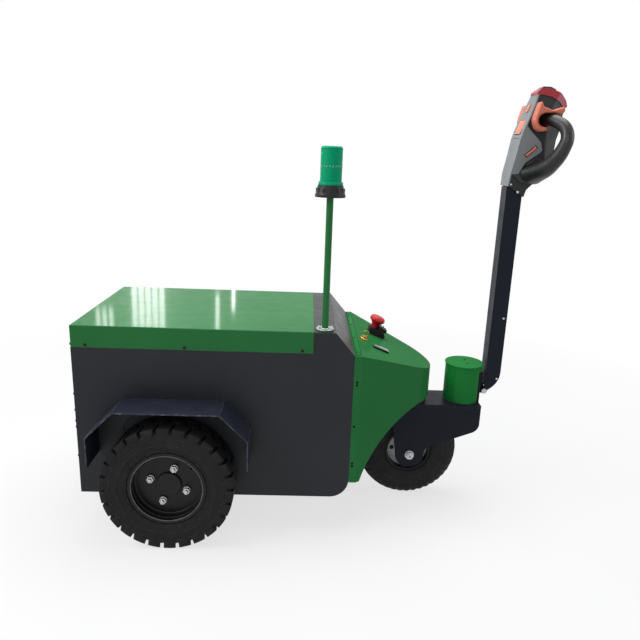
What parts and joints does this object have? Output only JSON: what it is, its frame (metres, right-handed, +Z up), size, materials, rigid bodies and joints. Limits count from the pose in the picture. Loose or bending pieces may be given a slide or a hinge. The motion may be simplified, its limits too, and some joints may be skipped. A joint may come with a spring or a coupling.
{
  "type": "walk-behind electric tow tug",
  "caption": "Walk-behind electric tow tug: boxy battery body on driven rear wheels, steered front wheel in a fork, sprung tiller with loop grips, beacon mast and rear tow pin.",
  "frame": {"origin": "on the floor under the middle of the tug's length and width", "axes": "+X forward towards the tiller, +Y to the left, +Z up"},
  "size_m": [1.5882, 0.764, 1.412],
  "materials": {
    "body_dark": "satin powder coat",
    "cover_green": "semi-gloss enamel",
    "fork_dark": "satin powder coat",
    "tyre_rubber": "matt rubber",
    "rim_black": "satin enamel",
    "rim_grey": "silver enamel",
    "cast_iron": "as cast, painted",
    "motor_grey": "satin",
    "battery_case": "moulded",
    "black_plastic": "moulded",
    "beacon_green": "ribbed, clear",
    "stop_red": "moulded",
    "key_brass": "turned",
    "meter_black": "moulded",
    "pin_steel": "zinc plated",
    "head_dark": "fine grain",
    "head_grey": "fine grain",
    "bumper_red": "fine grain",
    "grip_black": "soft touch",
    "throttle_orange": "fine grain"
  },
  "bodies": {
    "chassis": {"chassis_tub": "body_dark", "cowl_cap": "body_dark", "battery_cover": "cover_green", "nose_cover": "cover_green", "steering_beam": "body_dark", "axle_housing": "cast_iron", "drive_motor": "motor_grey", "battery_pack": "battery_case", "beacon_pole": "cover_green", "beacon_base": "black_plastic", "beacon_lens": "beacon_green", "estop_base": "black_plastic", "estop_knob": "stop_red", "key_switch": "key_brass", "battery_meter": "meter_black", "hitch_bracket": "body_dark", "hitch_pin": "pin_steel", "fender_left": "body_dark", "fender_right": "body_dark"},
    "fork": {"fork_top_plate": "fork_dark", "fork_chin_plate": "fork_dark", "fork_cheek_left": "fork_dark", "fork_cheek_right": "fork_dark", "kingpin": "pin_steel", "drum_shell": "cover_green", "drum_lid": "cover_green", "tiller_bracket": "fork_dark", "front_axle": "pin_steel"},
    "front_wheel": {"front_tyre": "tyre_rubber", "front_rim": "rim_grey"},
    "rear_wheel_left": {"rear_tyre_left": "tyre_rubber", "rear_rim_left": "rim_black", "rear_hub_left": "rim_black"},
    "rear_wheel_right": {"rear_tyre_right": "tyre_rubber", "rear_rim_right": "rim_black", "rear_hub_right": "rim_black"},
    "tiller": {"tiller_arm": "fork_dark", "tiller_pin": "pin_steel", "head_housing": "head_dark", "head_panel": "head_grey", "head_bumper": "bumper_red", "grip_left": "grip_black", "grip_right": "grip_black", "throttle_left": "throttle_orange", "throttle_right": "throttle_orange"}
  },
  "joints": [
    {"name": "rear_wheel_left_spin", "type": "hinge", "parent": "chassis", "child": "rear_wheel_left", "pos_m": [-0.40114, 0.328, 0.2], "axis": [0, 1, 0], "continuous": true},
    {"name": "rear_wheel_right_spin", "type": "hinge", "parent": "chassis", "child": "rear_wheel_right", "pos_m": [-0.40114, -0.328, 0.2], "axis": [0, 1, 0], "continuous": true},
    {"name": "steering", "type": "hinge", "parent": "chassis", "child": "fork", "pos_m": [0.37887, 0, 0.366], "axis": [0, 0, 1], "range_deg": [-65, 65]},
    {"name": "front_wheel_spin", "type": "hinge", "parent": "fork", "child": "front_wheel", "pos_m": [0.37887, 0, 0.175], "axis": [0, 1, 0], "continuous": true},
    {"name": "tiller_tilt", "type": "hinge", "parent": "fork", "child": "tiller", "pos_m": [0.63136, 0, 0.406], "axis": [0, 1, 0], "range_deg": [0, 75], "stiffness_Nm_per_rad": 30, "springref_deg": -20.05}
  ]
}
